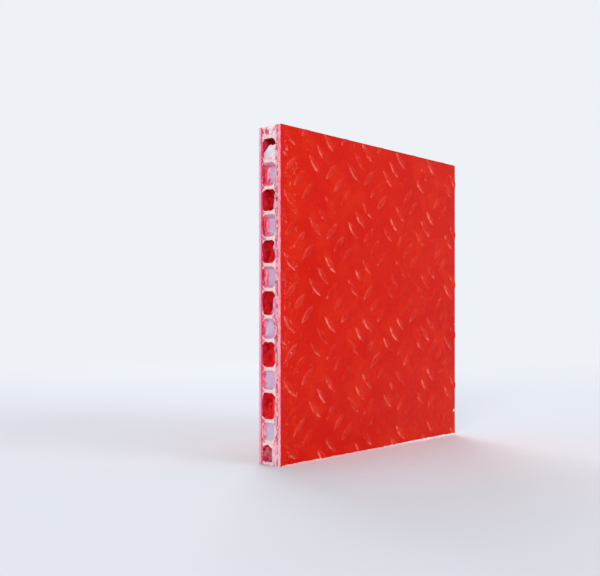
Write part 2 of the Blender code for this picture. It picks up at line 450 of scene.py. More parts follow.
# A hexagon with its corners up and down, each rounded into an arc, as X and Z.
def roundedHexagon(acrossFlats, cornerRadius, cornerSteps, sideSteps):
    flat = acrossFlats / 2
    cornerRadius = min(cornerRadius, flat * cells["roundest"])
    pivot = (flat - cornerRadius) * 2 / math.sqrt(3)
    outline = []
    for corner in range(6):
        direction = math.radians(90 + 60 * corner)
        centreX = pivot * math.cos(direction)
        centreZ = pivot * math.sin(direction)
        arc = []
        for n in range(cornerSteps + 1):
            angle = direction + math.radians(-30 + 60 * n / cornerSteps)
            arc.append((centreX + cornerRadius * math.cos(angle), centreZ + cornerRadius * math.sin(angle)))
        outline.append(arc)
    points = []
    for corner in range(6):
        points += outline[corner]
        start = Vector(outline[corner][-1])
        end = Vector(outline[(corner + 1) % 6][0])
        for n in range(1, sideSteps):
            points.append(tuple(start.lerp(end, n / sideSteps)))
    return points


# The empty space of one cell, narrowing in a fillet towards both skins.
def plugMesh(name, cornerSteps, sideSteps, filletSteps, wallSteps):
    clearWidth = cells["pitch"] - cells["wall"]
    half = coreDepth / 2
    rear, front = [], []
    for radius, side, levels in ((cells["rearFillet"], 1, rear), (cells["frontFillet"], -1, front)):
        for n in range(filletSteps + 1):
            angle = cells["steepest"] * n / filletSteps
            away = half - radius + radius * math.sin(angle)
            levels.append((side * away, radius - radius * math.cos(angle)))
        levels.append((side * (half + cells["cutThrough"]), levels[-1][1]))
    levels = front[::-1]
    for n in range(1, wallSteps):
        levels.append((front[0][0] + (rear[0][0] - front[0][0]) * n / wallSteps, 0))
    levels += rear
    verts, faces = [], []
    for away, inset in levels:
        rounding = max(cells["cornerRadius"] - inset, cells["leastRadius"])
        ring = roundedHexagon(clearWidth - 2 * inset, rounding, cornerSteps, sideSteps)
        verts += [(x, away, z) for x, z in ring]
    count = len(ring)
    for level in range(len(levels) - 1):
        for n in range(count):
            near, far = level * count + n, level * count + (n + 1) % count
            faces.append((near, far, far + count, near + count))
    faces.append(tuple(range(count)))
    faces.append(tuple((len(levels) - 1) * count + n for n in reversed(range(count))))
    return closedMesh(name, verts, faces)


# A block with a plug taken out for each cell: fine plugs near the sawn sides, plain ones inside.
def addCoreNodes(tree, given):
    values = {
        "First Count": 2,
        "Second Count": given["Columns"],
        "Third Count": given["Double Rows"],
        "First Step": given["Stagger"],
        "Second Step": given["Column Step"],
        "Third Step": given["Double Row Step"],
        "Start": given["Start"],
    }
    points = addGroup(tree, repeatTree, values).outputs[0]

    # A cell belongs to the rim when its centre lies near the block's outline, or outside it.
    position = addNode(tree, "GeometryNodeInputPosition").outputs[0]
    away = awayFrom(tree, position, given["Block Centre"])
    half = partsOf(tree, scaled(tree, given["Block Size"], 0.5))
    inRim = calc(tree, "LESS_THAN", sawGap(tree, half, away), given["Rim Reach"])
    spin = vectorOf(tree, Y=given["Turn"])
    plugs = addNode(tree, "GeometryNodeJoinGeometry")
    for source, chosen in (("Rim Plug", inRim), ("Inner Plug", minus(tree, 1.0, inRim))):
        plug = shapeOf(tree, given[source])
        values = {"Points": points, "Selection": chosen, "Instance": plug, "Rotation": spin}
        placed = addNode(tree, "GeometryNodeInstanceOnPoints", values)
        tree.links.new(placed.outputs[0], plugs.inputs[0])
    realPlugs = realized(tree, plugs.outputs[0])
    block = blockAt(tree, given["Block Size"], given["Block Centre"])
    cut = boolean(tree, "DIFFERENCE", (realPlugs,), stock=block)
    # Melted and sawn plastic isn't straight: every point drifts a little within its layer.
    drift = wander(tree, given["Wave Size"], given["Waviness"], (1, 0, 1))
    return addNode(tree, "GeometryNodeSetPosition", {"Geometry": cut, "Offset": drift}).outputs[0]


def addCore(coreFinish):
    fine = cells["cornerSteps"], cells["wallSteps"], cells["filletSteps"], cells["wallSteps"]
    rimPlug = link("rimPlug", plugMesh("rimPlug", *fine))
    innerPlug = link("innerPlug", plugMesh("innerPlug", 1, 1, 1, 1))
    turn = Matrix.Rotation(cells["turn"], 3, "Y")
    firstCell = Vector((leftEdge + cells["firstFromLeft"], coreMiddle, cells["firstFromFloor"]))
    doubleRows = math.ceil((math.ceil(panelHeight / rowPitch) + cells["spareRows"]) / 2)
    sawnWidth, sawnHeight = panelWidth - 2 * cells["recess"], panelHeight - 2 * cells["recess"]
    values = {
        "Rim Plug": rimPlug,
        "Inner Plug": innerPlug,
        "Columns": math.ceil(panelWidth / cells["pitch"]) + cells["spareColumns"],
        "Double Rows": doubleRows,
        "Stagger": turn @ Vector((cells["pitch"] / 2, 0, rowPitch)),
        "Column Step": turn @ Vector((cells["pitch"], 0, 0)),
        "Double Row Step": turn @ Vector((0, 0, 2 * rowPitch)),
        "Start": firstCell + turn @ Vector((-cells["pitch"], 0, -2 * rowPitch)),
        "Turn": cells["turn"],
        "Rim Reach": cells["rimReach"],
        "Block Size": Vector((sawnWidth, coreDepth, sawnHeight)),
        "Block Centre": Vector((0, coreMiddle, panelHeight / 2)),
        "Waviness": cells["waviness"],
        "Wave Size": cells["waveSize"],
        "Finish": coreFinish,
    }
    core = grow("honeycombCore", "honeycombTree", addCoreNodes, values)
    bpy.data.objects.remove(rimPlug)
    bpy.data.objects.remove(innerPlug)
    core.data.materials.clear()  # the cut leaves an empty slot before the finish
    core.data.materials.append(coreFinish)
    shadeSmooth(core, cells["sharpAngle"])
    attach(core, "root")
    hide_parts("honeycomb_core")
    return core


# Burrs: the soft lips that the saw pushed up round every opening it cut
burrs = {
    "spacing": 0.32 * mm,
    "thin": 0.07 * mm,
    "thick": 0.24 * mm,
    "thickness": (0.35, 0.65),  # the noise levels where a lip is thin and where it is thick
    "ragged": 0.30 * mm,
    "raggedSize": 0.9 * mm,
    "sides": 6,
    "planeReach": 0.42 * mm,  # a point this close to a sawn side counts as lying on it
    "clearOfSkins": 0.1 * mm,
    "sharpest": math.radians(35),  # edges from this angle on carry a lip
    "sharpAngle": 60,  # degrees
}


# Ragged tubes along the core's sharp edges that lie on a sawn side.
def addBurrNodes(tree, given):
    core = shapeOf(tree, given["Core"])
    ends = addNode(tree, "GeometryNodeInputMeshEdgeVertices").outputs
    half = partsOf(tree, given["Half Size"])
    onSide = []
    for end in ("Position 1", "Position 2"):
        away = awayFrom(tree, ends[end], given["Centre"])
        onCut = calc(tree, "LESS_THAN", sawGap(tree, half, away), given["Plane Reach"])
        inside = calc(tree, "GREATER_THAN", minus(tree, half["Y"], away["Y"]), burrs["clearOfSkins"])
        onSide.append(times(tree, onCut, inside))
    angle = addNode(tree, "GeometryNodeInputMeshEdgeAngle").outputs["Unsigned Angle"]
    sharp = calc(tree, "GREATER_THAN", angle, burrs["sharpest"])
    chosen = times(tree, *onSide, sharp)
    lines = addNode(tree, "GeometryNodeMeshToCurve", {"Mesh": core, "Selection": chosen}).outputs[0]
    values = {"Curve": lines, "Length": given["Spacing"]}
    fine = addNode(tree, "GeometryNodeResampleCurve", values, mode="LENGTH")
    drift = wander(tree, given["Ragged Size"], given["Ragged"], (1, 1, 1))
    ragged = addNode(tree, "GeometryNodeSetPosition", {"Geometry": fine.outputs[0], "Offset": drift})
    low, high = burrs["thickness"]
    swell = {"Value": noiseOf(tree, given["Ragged Size"])[0], "From Min": low, "From Max": high}
    swell.update({"To Min": given["Thin"], "To Max": given["Thick"]})
    radius = addNode(tree, "ShaderNodeMapRange", swell).outputs[0]
    sized = addNode(tree, "GeometryNodeSetCurveRadius", {"Curve": ragged.outputs[0], "Radius": radius})
    ring = addNode(tree, "GeometryNodeCurvePrimitiveCircle", {"Resolution": given["Sides"], "Radius": 1.0})
    values = {"Curve": sized.outputs[0], "Profile Curve": ring.outputs[0], "Fill Caps": True}
    tube = addNode(tree, "GeometryNodeCurveToMesh", values)
    if "Scale" in tube.inputs:
        tree.links.new(radius, tube.inputs["Scale"])

    # No burr stands past the skins' sawn edges or leaves the core's layer.
    position = addNode(tree, "GeometryNodeInputPosition").outputs[0]
    fromCentre = vectorCalc(tree, "SUBTRACT", position, given["Centre"])
    raised = vectorCalc(tree, "MAXIMUM", fromCentre, scaled(tree, given["Half Size"], -1))
    capped = vectorCalc(tree, "MINIMUM", raised, given["Half Size"])
    kept = vectorCalc(tree, "ADD", capped, given["Centre"])
    values = {"Geometry": tube.outputs[0], "Position": kept}
    return addNode(tree, "GeometryNodeSetPosition", values).outputs[0]


def addBurrs(core, finish):
    values = {
        "Core": core,
        "Half Size": Vector((panelWidth / 2, coreDepth / 2, panelHeight / 2)),
        "Centre": Vector((0, coreMiddle, panelHeight / 2)),
        "Plane Reach": burrs["planeReach"],
        "Spacing": burrs["spacing"],
        "Thin": burrs["thin"],
        "Thick": burrs["thick"],
        "Ragged": burrs["ragged"],
        "Ragged Size": burrs["raggedSize"],
        "Sides": burrs["sides"],
        "Finish": finish,
    }
    lips = grow("sawBurrs", "burrTree", addBurrNodes, values)
    shadeSmooth(lips, burrs["sharpAngle"])
    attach(lips, "root")
    return lips


# Torn sheets: the folded shred of cell wall and the smeared web above it
# A closed sheet. place gives the two points of its faces for shares from 0 to 1 both ways.
def closedSheet(name, rows, columns, place):
    pairs = [place(row / rows, column / columns) for row in range(rows + 1) for column in range(columns + 1)]
    verts = [pair[0] for pair in pairs] + [pair[1] for pair in pairs]
    wide, back = columns + 1, len(pairs)
    faces = []
    for row in range(rows):
        for column in range(columns):
            corner = row * wide + column
            quad = (corner, corner + 1, corner + wide + 1, corner + wide)
            faces.append(quad)
            faces.append(tuple(back + n for n in reversed(quad)))
    lowest = list(range(wide))
    highest = [rows * wide + n for n in lowest]
    first = [row * wide for row in range(rows + 1)]
    last = [n + columns for n in first]
    for border in (lowest, highest, first, last):
        for here, after in zip(border, border[1:]):
            faces.append((here, after, back + after, back + here))
    return link(name, closedMesh(name, verts, faces))


# Smooth noise at a place, in patches about as wide as size.
def roughly(x, y, size, amount):
    level = 0.7  # which layer of the noise is read
    return noise.noise(Vector((x / size, y / size, level))) * amount


shred = {
    "row": 12,  # of cells, counted from the lowest
    "height": 4.6 * mm,
    "lowSide": 2.5 * mm,
    "level": 0.56,  # share of its width over which its torn edge stays high
    "thickness": 0.32 * mm,
    "lean": math.radians(8),
    "bulge": 0.35 * mm,
    "setBack": 0.55 * mm,
    "clear": 0.1 * mm,  # of the layers beside the core
    "sunk": 0.1 * mm,  # into the cell's floor
    "pastRear": 0.3 * mm,
    "bulgeTop": 0.8,  # share of half a wave from its foot to its top
    # noise: the row it is read in, the size of its patches, its amount
    "torn": (3.1, 0.14, 0.35 * mm),
    "curl": (0.5, 0.4 * mm),  # size and amount
    "nipped": (0.12, 0.5 * mm),  # share of its width and depth of the rounding at its front
    "steps": (18, 24),
}

web = {
    "row": 13,
    "thickness": 0.30 * mm,
    "setBack": 0.30 * mm,
    "overlap": 0.45 * mm,  # how far it runs on into the layers beside the core
    "clear": 0.05 * mm,  # of those layers and of the upper sawn side
    "sunk": 0.2 * mm,  # into the cell's floor
    "waves": (1.6 * mm, 0.5 * mm),  # size and amount
    "raggedRims": (0.45, 0.35),  # of the windows, as shares of them
    "cutReach": 2 * mm,  # half the depth of a window's cut
    "steps": (24, 36),
    # each window's place behind the core's middle, its height, and half its width and height
    "windows": (
        (1.15 * mm, 98.55 * mm, 1.25 * mm, 1.0 * mm),
        (-1.95 * mm, 98.75 * mm, 0.5 * mm, 0.4 * mm),
    ),
}

# The lowest cell's mouth: what the lower saw cut left standing, and the thick arch above it
mouth = {
    "thickness": 0.30 * mm,
    "setBack": 0.30 * mm,
    "sill": 0.75 * mm,
    "sillRise": 1.3 * mm,
    "archTop": 6.35 * mm,
    "arch": 0.55 * mm,
    "frontDrop": 2.4 * mm,
    "rearDrop": 0.9 * mm,
    "clear": 0.05 * mm,  # of the layers beside the core
    "foot": 0.04 * mm,  # above the floor
    "waves": (1.2 * mm, 0.3 * mm),  # size and amount
    # noise: the row it is read in, the size of its patches, its amount
    "tornSill": (5.7, 0.12, 0.5 * mm),
    "tornArch": (9.1, 0.15, 0.4 * mm),
    "steps": (8, 36),
}


# Height of the cell's floor where the left saw cut opened it.
def cutMouth(row):
    rise = row * rowPitch
    depth = cells["firstFromLeft"] + rise * math.sin(cells["turn"])
    if row % 2:
        depth -= cells["pitch"] / 2
    middle = cells["firstFromFloor"] + rise * math.cos(cells["turn"])
    return middle - cells["pitch"] / math.sqrt(3) + abs(depth) / math.sqrt(3)


def addShred(finish):
    halfDepth = coreDepth / 2 - shred["clear"]
    foot = cutMouth(shred["row"]) - shred["sunk"]
    nippedWidth, nippedDepth = shred["nipped"]

    def place(up, across):
        fall = max(0.0, (across - shred["level"]) / (1 - shred["level"]))
        top = shred["height"] - fall * (shred["height"] - shred["lowSide"])
        top += roughly(across, *shred["torn"]) - nippedDepth * max(0.0, nippedWidth - across) / nippedWidth
        belly = shred["bulge"] * math.sin(math.pi * across) * math.sin(math.pi * up * shred["bulgeTop"])
        curl = roughly(across, up, *shred["curl"]) * up
        x = leftEdge + shred["setBack"] + up * top * math.tan(shred["lean"]) - belly + curl
        y = coreMiddle - halfDepth + across * (2 * halfDepth + shred["pastRear"])
        return (x, y, foot + up * top), (x + shred["thickness"], y, foot + up * top)

    dressTorn(closedSheet("foldedShred", *shred["steps"], place), finish)


def addWeb(finish):
    halfDepth = coreDepth / 2 - web["clear"]
    foot = cutMouth(web["row"]) - web["sunk"]

    def place(up, across):
        z = foot + up * (panelHeight - web["clear"] - foot)
        y = coreMiddle - halfDepth - web["overlap"] + across * 2 * (halfDepth + web["overlap"])
        x = leftEdge + web["setBack"] + roughly(y, z, *web["waves"])
        return (x, y, z), (x + web["thickness"], y, z)

    sheet = closedSheet("smearedWeb", *web["steps"], place)
    windows = []
    for behind, height, halfWidth, halfHeight in web["windows"]:
        bpy.ops.mesh.primitive_uv_sphere_add(segments=32, ring_count=16, radius=1.0)
        window = bpy.context.active_object
        for point in window.data.vertices:
            ragged = 1 + roughly(point.co.y + behind / mm, point.co.z, *web["raggedRims"])
            y, z = point.co.y * halfWidth * ragged, point.co.z * halfHeight * ragged
            point.co = Vector((point.co.x * web["cutReach"], y, z))
        window.location = (leftEdge, coreMiddle + behind, height)
        cut = sheet.modifiers.new("Window", "BOOLEAN")
        cut.operation = "DIFFERENCE"
        cut.solver = "EXACT"
        cut.object = window
        windows.append(window)
    settle(sheet)
    for window in windows:
        bpy.data.objects.remove(window)
    dressTorn(sheet, finish)


def addMouth(finish):
    halfDepth = coreDepth / 2 - mouth["clear"]

    def sheet(name, lowest, highest):
        def place(up, across):
            z = lowest(across) + up * (highest(across) - lowest(across))
            y = coreMiddle - halfDepth + across * 2 * halfDepth
            x = leftEdge + mouth["setBack"] + roughly(y, z, *mouth["waves"])
            return (x, y, z), (x + mouth["thickness"], y, z)

        dressTorn(closedSheet(name, *mouth["steps"], place), finish)

    # Both edges curve up or down towards the skins: across runs from the front at 0 to the rear at 1.
    def sillTop(across):
        toFront = max(0.0, 1 - across / 0.45)
        return mouth["sill"] + mouth["sillRise"] * toFront**1.5 + roughly(across, *mouth["tornSill"])

    def archFoot(across):
        toFront, toRear = max(0.0, 1 - across / 0.55), max(0.0, across / 0.25 - 3)
        drop = mouth["arch"] + mouth["frontDrop"] * toFront**1.6 + mouth["rearDrop"] * toRear**2
        return mouth["archTop"] - drop + roughly(across, *mouth["tornArch"])

    sheet("lowerSill", lambda across: mouth["foot"], sillTop)
    sheet("lowerArch", archFoot, lambda across: mouth["archTop"])


def dressTorn(item, finish):
    item.data.materials.clear()
    item.data.materials.append(finish)
    sharpAngle = 50
    shadeSmooth(item, sharpAngle)
    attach(item, "root")


# The lumpy inner sides of the open cells: the soaked veil in front, the rear skin's burr behind
swells = {
    "front": {
        "face": coreLow.y,
        "into": 1,
        "reachIn": 9.0 * mm,  # how far it is made, from the sawn sides inwards
        "step": 0.4 * mm,
        "base": 0.20 * mm,
        "uneven": 0.9 * mm,
        "unevenSize": 3.2 * mm,
        "ragged": 0.5 * mm,
        "raggedSize": 0.8 * mm,
        # the largest lumps along the left side: height, reach and half length, in mm
        "lumps": ((3.0, 1.7, 4.0), (45.0, 1.2, 4.5), (78.0, 0.5, 6.0)),
        "lumpDepth": 6.0 * mm,
    },
    "rear": {
        "face": coreHigh.y,
        "into": -1,
        "reachIn": 0.45 * mm,
        "step": 0.15 * mm,
        "base": 0.06 * mm,
        "uneven": 0.5 * mm,
        "unevenSize": 2.2 * mm,
        "ragged": 0.5 * mm,
        "raggedSize": 0.7 * mm,
        "lumps": (),
        "lumpDepth": 6.0 * mm,
    },
}


# How far the lumps reach into the cell. The shifts keep the two noises apart.
def swellHeight(swell, x, z):
    reach = swell["base"] + roughly(x + 7 * mm, z, swell["unevenSize"], swell["uneven"])
    reach += roughly(x, z + 3 * mm, swell["raggedSize"], swell["ragged"])
    fading = mm * math.exp(-(((x - leftEdge) / swell["lumpDepth"]) ** 2))
    for height, bump, half in swell["lumps"]:
        reach += bump * fading * math.exp(-(((z / mm - height) / half) ** 2))
    least = 0.04 * mm
    return max(least, reach)


def addSwells(side, finish):
    swell = swells[side]
    inset = 0.12 * mm  # from the sawn sides
    sunk = 0.02 * mm  # into the gap beside the core
    sharpAngle = 60
    near = swell["face"] - swell["into"] * sunk
    reachIn = swell["reachIn"]
    width, height = panelWidth - 2 * (inset + reachIn), panelHeight - 2 * inset
    strips = {
        "Left": (leftEdge + inset, inset, reachIn, height),
        "Right": (-leftEdge - inset - reachIn, inset, reachIn, height),
        "Lower": (leftEdge + inset + reachIn, inset, width, reachIn),
        "Upper": (leftEdge + inset + reachIn, panelHeight - inset - reachIn, width, reachIn),
    }
    for name, (fromX, fromZ, wide, high) in strips.items():

        def place(up, across):
            x, z = fromX + across * wide, fromZ + up * high
            reach = sunk + swellHeight(swell, x, z)
            return (x, near, z), (x, near + swell["into"] * reach, z)

        rows, columns = round(high / swell["step"]), round(wide / swell["step"])
        strip = closedSheet(side + name + "Swell", rows, columns, place)
        strip.data.materials.append(finish)
        shadeSmooth(strip, sharpAngle)
        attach(strip, "root")


def newMaterial(name):
    made = bpy.data.materials.new(name)
    made.use_nodes = True
    return made, made.node_tree, made.node_tree.nodes["Principled BSDF"]


# A colour as seen on screen, from 0 to 255, turned into the shader's linear values.
def srgb(red, green, blue):
    linear = []
    for part in (red, green, blue):
        share = part / 255
        linear.append(share / 12.92 if share <= 0.04045 else ((share + 0.055) / 1.055) ** 2.4)
    return (*linear, 1.0)


# Mixes two colours: the first where share is 0, the second where it is 1.
def blend(tree, share, first, second):
    return addNode(tree, "ShaderNodeMix", {0: share, 6: first, 7: second}, data_type="RGBA").outputs[2]


# Soft patches. Size is their width in millimetres, Stretch makes them longer along Z.
def makeMottle():
    inputs = {"Place": "Vector", "Size": "Float", "Stretch": "Float", "From": "Float", "To": "Float"}
    tree, given, out = newTree("mottle", "ShaderNodeTree", inputs, {"Mask": "Float", "Raw": "Float"})
    squeeze = vectorOf(tree, X=1.0, Y=1.0, Z=calc(tree, "DIVIDE", 1.0, given["Stretch"]))
    values = {
        "Vector": vectorCalc(tree, "MULTIPLY", given["Place"], squeeze),
        "Scale": calc(tree, "DIVIDE", 1.0, given["Size"]),
        "Detail": 3.0,
        "Roughness": 0.55,
    }
    raw = addNode(tree, "ShaderNodeTexNoise", values).outputs[0]
    tree.links.new(between(tree, raw, given["From"], given["To"]), out["Mask"])
    tree.links.new(raw, out["Raw"])
    return tree


# How deep a point lies behind the nearest sawn side, in millimetres.
def makeSawDepth():
    inputs = {"Place": "Vector", "Half Width": "Float", "Half Height": "Float"}
    tree, given, out = newTree("sawDepth", "ShaderNodeTree", inputs, {"Depth": "Float"})
    parts = partsOf(tree, given["Place"])
    sideways = minus(tree, given["Half Width"], calc(tree, "ABSOLUTE", parts["X"]))
    fromMiddle = calc(tree, "ABSOLUTE", minus(tree, parts["Z"], given["Half Height"]))
    upDown = minus(tree, given["Half Height"], fromMiddle)
    tree.links.new(calc(tree, "MINIMUM", sideways, upDown), out["Depth"])
    return tree


sawing = {
    "squeezed": (1.0, 2.6, 1.0),  # the marks are this much closer through the panel's depth
    "detail": 4.0,
    "roughness": 0.7,
    "flecks": (0.32, 0.12),
    "fleckDepth": -0.35,
}


# Fine scores and torn fibres that a saw leaves, as a height.
def makeSawMarks():
    inputs, outputs = {"Place": "Vector", "Fineness": "Float"}, {"Height": "Float", "Fleck": "Float"}
    tree, given, out = newTree("sawMarks", "ShaderNodeTree", inputs, outputs)
    across = vectorCalc(tree, "MULTIPLY", given["Place"], sawing["squeezed"])
    values = {"Vector": across, "Scale": given["Fineness"]}
    flecks = addNode(tree, "ShaderNodeTexVoronoi", values).outputs["Distance"]
    values.update({"Detail": sawing["detail"], "Roughness": sawing["roughness"]})
    scores = addNode(tree, "ShaderNodeTexNoise", values).outputs[0]
    fleck = between(tree, flecks, *sawing["flecks"])
    tree.links.new(calc(tree, "ADD", scores, times(tree, fleck, sawing["fleckDepth"])), out["Height"])
    tree.links.new(fleck, out["Fleck"])
    return tree


effects = {"mottle": makeMottle(), "sawDepth": makeSawDepth(), "sawMarks": makeSawMarks()}


paintedLightNearFloor = (srgb(255, 206, 214), ("z", 9.0, 5.0))  # painted light: paler towards the floor, lifting the shade on the low parts
atRim = ("depth", 0.05, 0.02)
resinRed = srgb(232, 38, 40)
sawnPlastic = (srgb(233, 208, 215), srgb(241, 208, 194))


# A material under way, made from its look: a ground of two colours, with layers over it. A layer is
# a colour and its factors, which are numbers or masks. A mask is a pattern (the width of its patches
# in mm, the noise levels where they begin and where they are full, how many times longer they are
# along Z), or a reach (what it goes by, the mm where it begins and where it is full), or "fleck",
# the fibres that the saw tore.
class Finish:
    def __init__(self, name, look):
        self.look = look
        self.made, self.tree, self.shader = newMaterial(name)
        spot = addNode(self.tree, "ShaderNodeTexCoord").outputs["Object"]
        values = {"Vector": spot, "Scale": (1 / mm, 1 / mm, 1 / mm)}
        self.place = addNode(self.tree, "ShaderNodeMapping", values).outputs[0]
        self.x, self.y, self.z = partsOf(self.tree, self.place)
        self.measures = {"x": self.x, "z": self.z}
        self.masks = {}
        if "scores" in look:
            marks = self.effect("sawMarks", Fineness=look["scores"])
            self.scores, self.masks["fleck"] = marks["Height"], marks["Fleck"]
        self.colour = self.blend(*look["ground"])
        for layer in look.get("layers", ()):
            self.lay(*layer)

    def calc(self, operation, *values):
        return calc(self.tree, operation, *values)

    def effect(self, name, **values):
        return addGroup(self.tree, effects[name], {"Place": self.place, **values}).outputs

    def measure(self, name):
        if name not in self.measures:
            halves = {"Half Width": panelWidth / 2 / mm, "Half Height": panelHeight / 2 / mm}
            self.measures[name] = self.effect("sawDepth", **halves)["Depth"]
        return self.measures[name]

    def mottle(self, pattern, **values):
        size, low, high, stretch = (*pattern, 1.0)[:4]
        return self.effect("mottle", Size=size, Stretch=stretch, From=low, To=high, **values)

    # The same noise as it is, for a surface's height.
    def grain(self, size):
        return self.mottle((size, 0.0, 1.0))["Raw"]

    # The socket of a mask. The same mask is made once.
    def mask(self, thing):
        if not isinstance(thing, (tuple, str)):
            return thing
        if thing not in self.masks:
            if isinstance(thing[0], str):
                self.masks[thing] = self.between(self.measure(thing[0]), thing[1:])
            else:
                self.masks[thing] = self.mottle(thing)["Mask"]
        return self.masks[thing]

    def between(self, value, limits):
        return between(self.tree, value, *limits)

    def times(self, *factors):
        return times(self.tree, *[self.mask(factor) for factor in factors])

    # mask times factor, plus added
    def spread(self, mask, factor, added):
        return self.calc("MULTIPLY_ADD", self.mask(mask), factor, added)

    def blend(self, mask, first, second):
        return blend(self.tree, self.mask(mask), first, second)

    # Lays a colour over the rest, where all the factors are above 0.
    def lay(self, colour, *factors):
        self.colour = self.blend(self.times(*factors), self.colour, colour)

    # The direction that the surface faces, and how directly it faces along an axis, either way.
    def facing(self, axis):
        normal = addNode(self.tree, "ShaderNodeNewGeometry").outputs["Normal"]
        return normal, self.calc("ABSOLUTE", partsOf(self.tree, normal)[axis])

    # Links everything to the shader. The relief is the saw's scores, or grain, or what is given.
    def end(self, roughness=None, height=None):
        look = self.look
        if not height:
            height = self.scores if "scores" in look else self.grain(look["grain"])
        if not roughness:
            roughness = look["roughness"]
        if isinstance(roughness, tuple):
            roughness = self.spread(*roughness)
        relief = {"Height": height, "Distance": look["relief"], "Strength": look.get("strength", 0.6)}
        normal = addNode(self.tree, "ShaderNodeBump", relief).outputs[0]
        values = {"Base Color": self.colour, "Roughness": roughness, "Normal": normal}
        if "specular" in look:
            values["Specular IOR Level"] = look["specular"]
        fill(self.tree, self.shader, values)
        return self.made


gelcoat = {
    "ground": ((26.0, 0.3, 0.7), srgb(201, 14, 0), srgb(208, 24, 0)),
    "pale": srgb(218, 42, 8),
    "palePatches": ((7.0, 0.45, 0.7), 0.5),
    # a pale colour, for the painted highlights on the bars and for real wear and strands
    "paleWearAndGlint": srgb(250, 118, 104),
    "wearAndGlintPatches": ((6.5, 0.4, 0.6), 0.75, 0.25),  # patches where the paler wear and the painted highlights show
    # paler crowns on the bars: partly wear, partly painted highlight
    "crowns": (2.6, 0.34, 0.66),
    "crownRise": (0.02, 0.16),  # mm above the skin
    "crownShare": 0.10,
    # painted shade: dark red patches on the raised parts of the bars
    "barShadeRed": srgb(150, 12, 8),
    "barShade": (1.3, 0.57, 0.64),
    "barShadeRise": (0.04, 0.14),
    "barShadeShare": (("z", 64.0, 44.0), 0.35, 0.1),  # more of it low down
    "flankSlope": (0.06, 0.28),
    # painted highlight: which way a bar's lit flanks look, and how much each is lightened
    "glintFlanks": (((-0.707, 0, -0.707), 1.0), ((0.707, 0, -0.707), 0.22), ((0, 0, 1), 0.25)),
    # patches where the painted highlight on the flanks shows
    "glintPatches": (3.0, 0.38, 0.60),
    "fineGlintPatches": (1.0, 0.28, 0.53),
    "glintShare": 0.85,
    "grain": 0.9,
    # painted highlights: pale glint specks over the face, more of them near the left side, and pale tufts
    # near it
    "specksNear": (9.0, 2.0),  # mm from the left side
    "specksMore": 0.05,
    "specks": (0.68, 0.73),
    "speckShare": 0.6,
    "tuftsNear": (9.5, 5.0),
    "tufts": (2.2, 0.60, 0.68),
    "fineTufts": (0.8, 0.42, 0.56),
    "tuftShare": 0.7,
    "crimsonBand": srgb(196, 22, 48),  # the crimson line along the left side
    "crimsonWaver": ((1.6, 0.3, 0.7), 0.5),
    "crimsonReach": (1.55, 0.35),  # mm from the left side
    "crimsonShare": 0.8,
    "frayed": srgb(248, 196, 196),  # bared glass along the lower edge
    "bare": srgb(255, 236, 238),  # and where it is whitest, to the right
    "toRight": ("x", -5.0, 30.0),
    "fringe": ((0.8, 0.3, 0.7), -0.3, 0.5),  # its height in mm
    "fringeRise": 0.3,  # mm more to the right
    "fringeShare": 0.85,
    "chips": ((46.3, 9.0, 0.55), (46.6, 41.0, 0.2)),  # X, Z and radius in mm of the knocks
    "chipTorn": 1.2,
    "chipEdge": (0.75, 0.45),
    "gloss": ((3.0, 0.3, 0.75), 0.16, 0.24),
    "steep": (0.985, 0.92),
    "steepDull": 0.35,
    "peel": 1.3,
    "fibres": 0.35,
    "fibreShare": 0.25,
    "relief": 0.05 * mm,
    "strength": 0.5,
    "specular": 0.09,
}


# How directly a bar's surface looks one way, as a mask.
def flank(skin, facing, towards):
    slope = addNode(skin.tree, "ShaderNodeVectorMath", {0: facing, 1: towards}, operation="DOT_PRODUCT")
    return skin.between(slope.outputs["Value"], gelcoat["flankSlope"])


# Painted highlights: paler flanks on the bars by the way they face, and pale glint specks and tufts, more of
# them near the left cut.
def wearOf(skin, facing, wearAndGlintPatches, fromLeft, grain):
    glintFlanks = 0.0
    for towards, share in gelcoat["glintFlanks"]:
        glintFlanks = skin.calc("MAXIMUM", glintFlanks, skin.times(flank(skin, facing, towards), share))
    paleWearAndGlint = skin.times(glintFlanks, gelcoat["glintPatches"], gelcoat["fineGlintPatches"], wearAndGlintPatches)
    rough = skin.spread(skin.between(fromLeft, gelcoat["specksNear"]), gelcoat["specksMore"], grain)
    specks = skin.times(skin.between(rough, gelcoat["specks"]), gelcoat["speckShare"])
    tufts = skin.times(skin.between(fromLeft, gelcoat["tuftsNear"]), gelcoat["tufts"], gelcoat["fineTufts"])
    paleWearAndGlint = skin.calc("MAXIMUM", skin.times(paleWearAndGlint, gelcoat["glintShare"]), specks)
    return skin.calc("MAXIMUM", paleWearAndGlint, skin.times(tufts, gelcoat["tuftShare"]))
